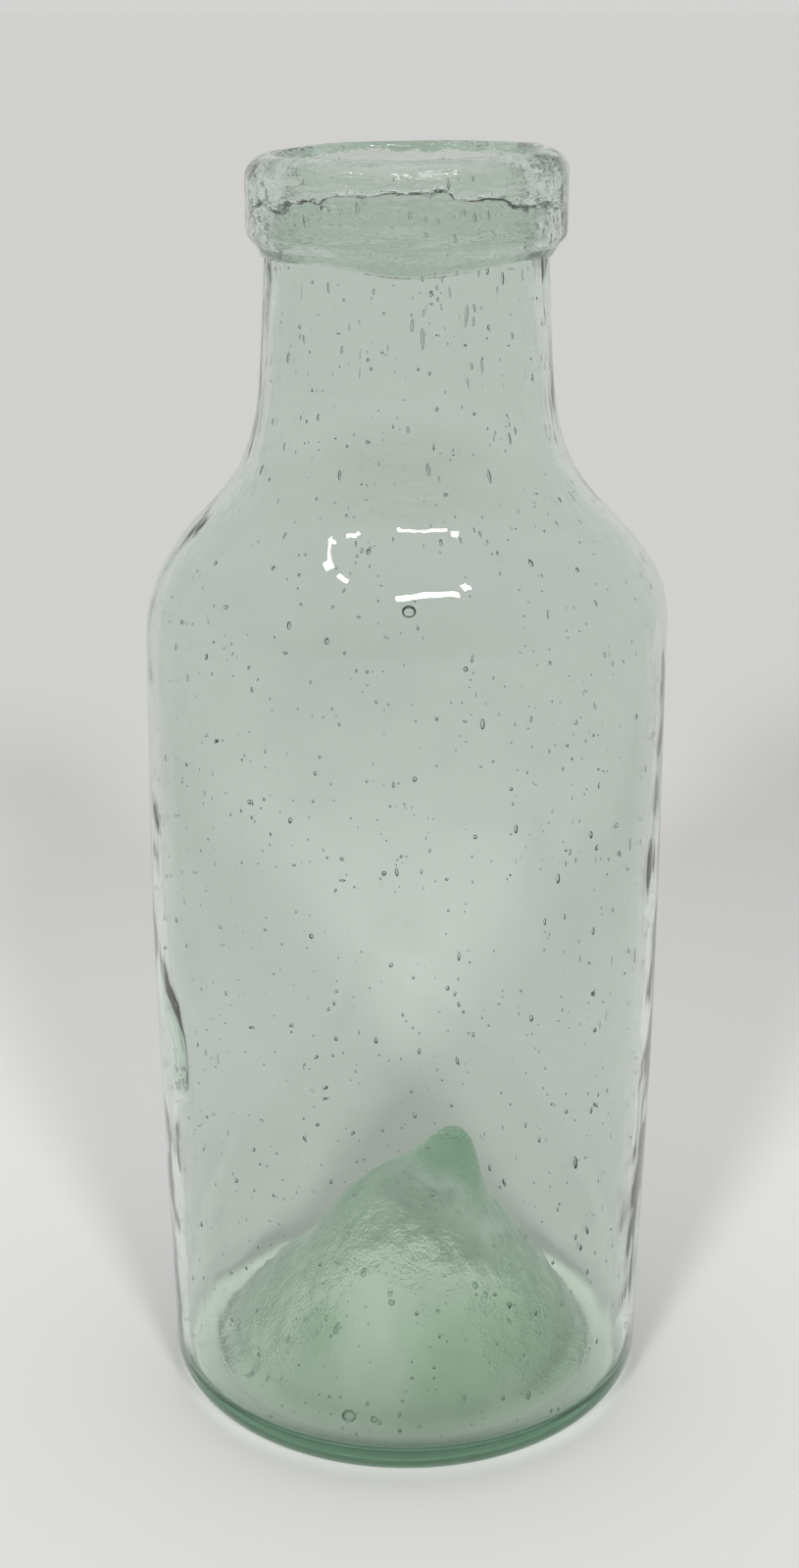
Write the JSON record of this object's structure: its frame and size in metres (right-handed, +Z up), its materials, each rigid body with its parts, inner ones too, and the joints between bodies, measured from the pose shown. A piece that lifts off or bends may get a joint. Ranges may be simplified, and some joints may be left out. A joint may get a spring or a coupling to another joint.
{
  "type": "glass bottle",
  "caption": "Hand-blown wide-mouth preserve bottle in pale aqua glass, with a rounded shoulder, short wide neck, applied band lip and a high kick-up in the base.",
  "frame": {"origin": "centre of the resting ring, on the surface that the bottle stands on", "axes": "+Z up along the bottle's own axis, towards the mouth; +X and +Y are any two square directions, because the bottle is round"},
  "size_m": [0.0967, 0.0968, 0.24],
  "materials": {
    "bottle_glass": "clear pale aqua-green blown glass with fine seed bubbles, fire-polished, worn on the resting ring",
    "lip_glass": "clear pale aqua-green laid-on glass with tooling wrinkles and drawn-out bubbles, fire-polished",
    "scar_glass": "rough broken aqua-green glass"
  },
  "bodies": {
    "root": {"blown_body": "bottle_glass", "kick_up_base": "bottle_glass", "applied_lip": "lip_glass", "pontil_scar": "scar_glass"}
  },
  "joints": []
}
